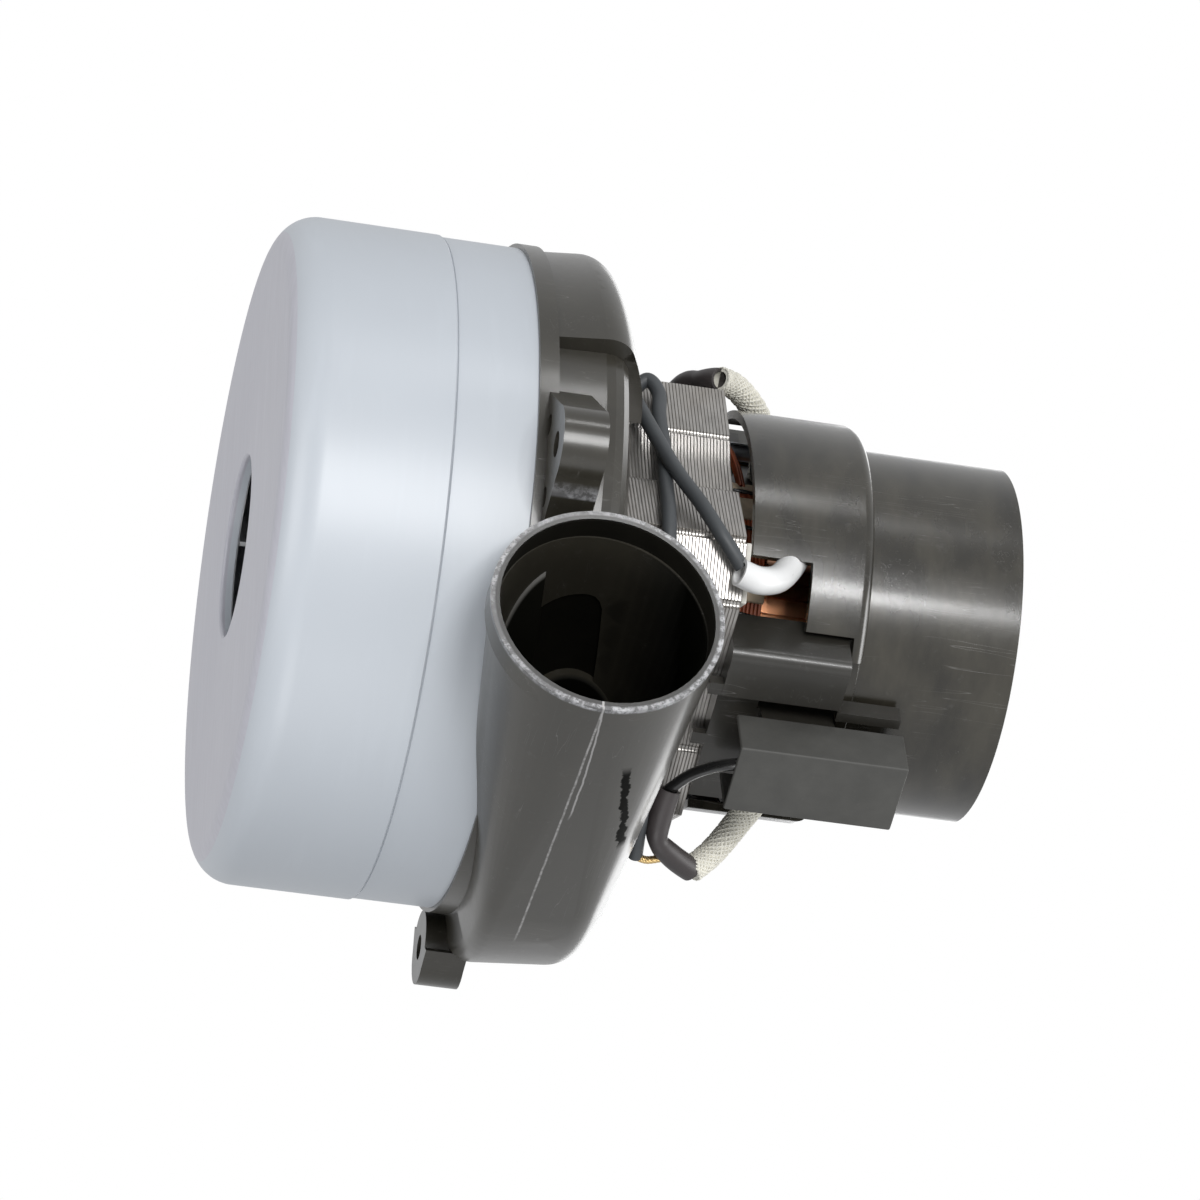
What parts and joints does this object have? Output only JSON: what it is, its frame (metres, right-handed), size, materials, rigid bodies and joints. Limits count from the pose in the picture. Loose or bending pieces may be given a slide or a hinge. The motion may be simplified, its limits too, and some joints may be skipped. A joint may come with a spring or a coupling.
{
  "type": "vacuum motor",
  "caption": "Bypass vacuum motor: pressed two-stage fan casing, black scroll with a tangential round horn, open laminated stator, brush gear and a vented end cover",
  "frame": {"origin": "centre of the inlet hole on the flat inlet face, which is the face the motor stands on", "axes": "+Z is the shaft, from the inlet face to the vented end cover; +X is the way the discharge horn blows; +Y is the side on which the horn stands off the shaft"},
  "size_m": [0.1696, 0.1704, 0.1648],
  "materials": {
    "can_paint": "pale blue grey satin paint on pressed sheet",
    "black_plastic": "glossy brown-black moulding",
    "bracket_plastic": "satin black moulding",
    "cover_plastic": "dark grey-brown moulding, glossy on the end cylinder",
    "bright_aluminium": "bare pressed sheet",
    "steel": "turned and ground",
    "laminations": "stacked sheet with fine lines",
    "copper_wire": "enamelled red-brown winding",
    "copper_bars": "turned copper bars",
    "brown_resin": "pressed resin",
    "pale_insulation": "pale pressed insulation",
    "brass": "drawn brass",
    "carbon": "pressed carbon",
    "fibre_sheet": "folded dark grey insulating fibre",
    "lead_rubber": "grey-black rubber lead",
    "white_sleeve": "smooth white sleeve",
    "black_lead": "shiny black lead",
    "shrink_tube": "brown-black shrink tube",
    "braid": "woven off-white glass braid"
  },
  "bodies": {
    "housing": {"front_fan_can": "can_paint", "rear_fan_can": "can_paint", "scroll_housing": "black_plastic", "stage_guide_plate": "bright_aluminium", "diffuser_plate": "black_plastic", "bearing_outer_races": "steel", "stator_stack": "laminations", "field_coil_a": "copper_wire", "field_coil_b": "copper_wire", "coil_insulators": "pale_insulation", "through_bolts": "steel", "brush_bracket": "bracket_plastic", "brush_tube_a": "brass", "brush_tube_b": "brass", "brush_spring_a": "steel", "brush_spring_b": "steel", "brush_caps": "brass", "insulating_box_a": "fibre_sheet", "insulating_box_b": "fibre_sheet", "end_cover": "cover_plastic", "coil_lead": "lead_rubber", "cross_lead": "lead_rubber", "bare_twist": "brass", "coil_sleeve": "white_sleeve", "brush_lead": "black_lead", "lower_splice": "shrink_tube", "upper_splice": "shrink_tube", "lower_braid": "braid", "upper_braid": "braid"},
    "rotor": {"first_impeller": "bright_aluminium", "second_impeller": "bright_aluminium", "rotor_shaft": "steel", "fan_spacers": "steel", "fan_washer": "steel", "fan_nut": "steel", "bearing_inner_races": "steel", "armature_core": "laminations", "armature_winding": "copper_wire", "commutator": "copper_bars", "commutator_hooks": "copper_bars", "commutator_hub": "brown_resin", "cooling_fan": "bracket_plastic", "fan_retainer": "steel"},
    "brush_1": {"brush_a": "carbon"},
    "brush_2": {"brush_b": "carbon"}
  },
  "joints": [
    {"name": "rotor_spin", "type": "hinge", "parent": "housing", "child": "rotor", "pos_m": [0, 0, 0.0605], "axis": [0, 0, 1], "continuous": true},
    {"name": "brush_1_slide", "type": "slide", "parent": "housing", "child": "brush_1", "axis": [0.3007, 0.9537, 0], "range_m": [0, 0.009], "stiffness_N_per_m": 120, "springref_m": -0.01, "deforming": ["brush_spring_a"]},
    {"name": "brush_2_slide", "type": "slide", "parent": "housing", "child": "brush_2", "axis": [-0.3007, -0.9537, 0], "range_m": [0, 0.009], "stiffness_N_per_m": 120, "springref_m": -0.01, "deforming": ["brush_spring_b"]}
  ]
}
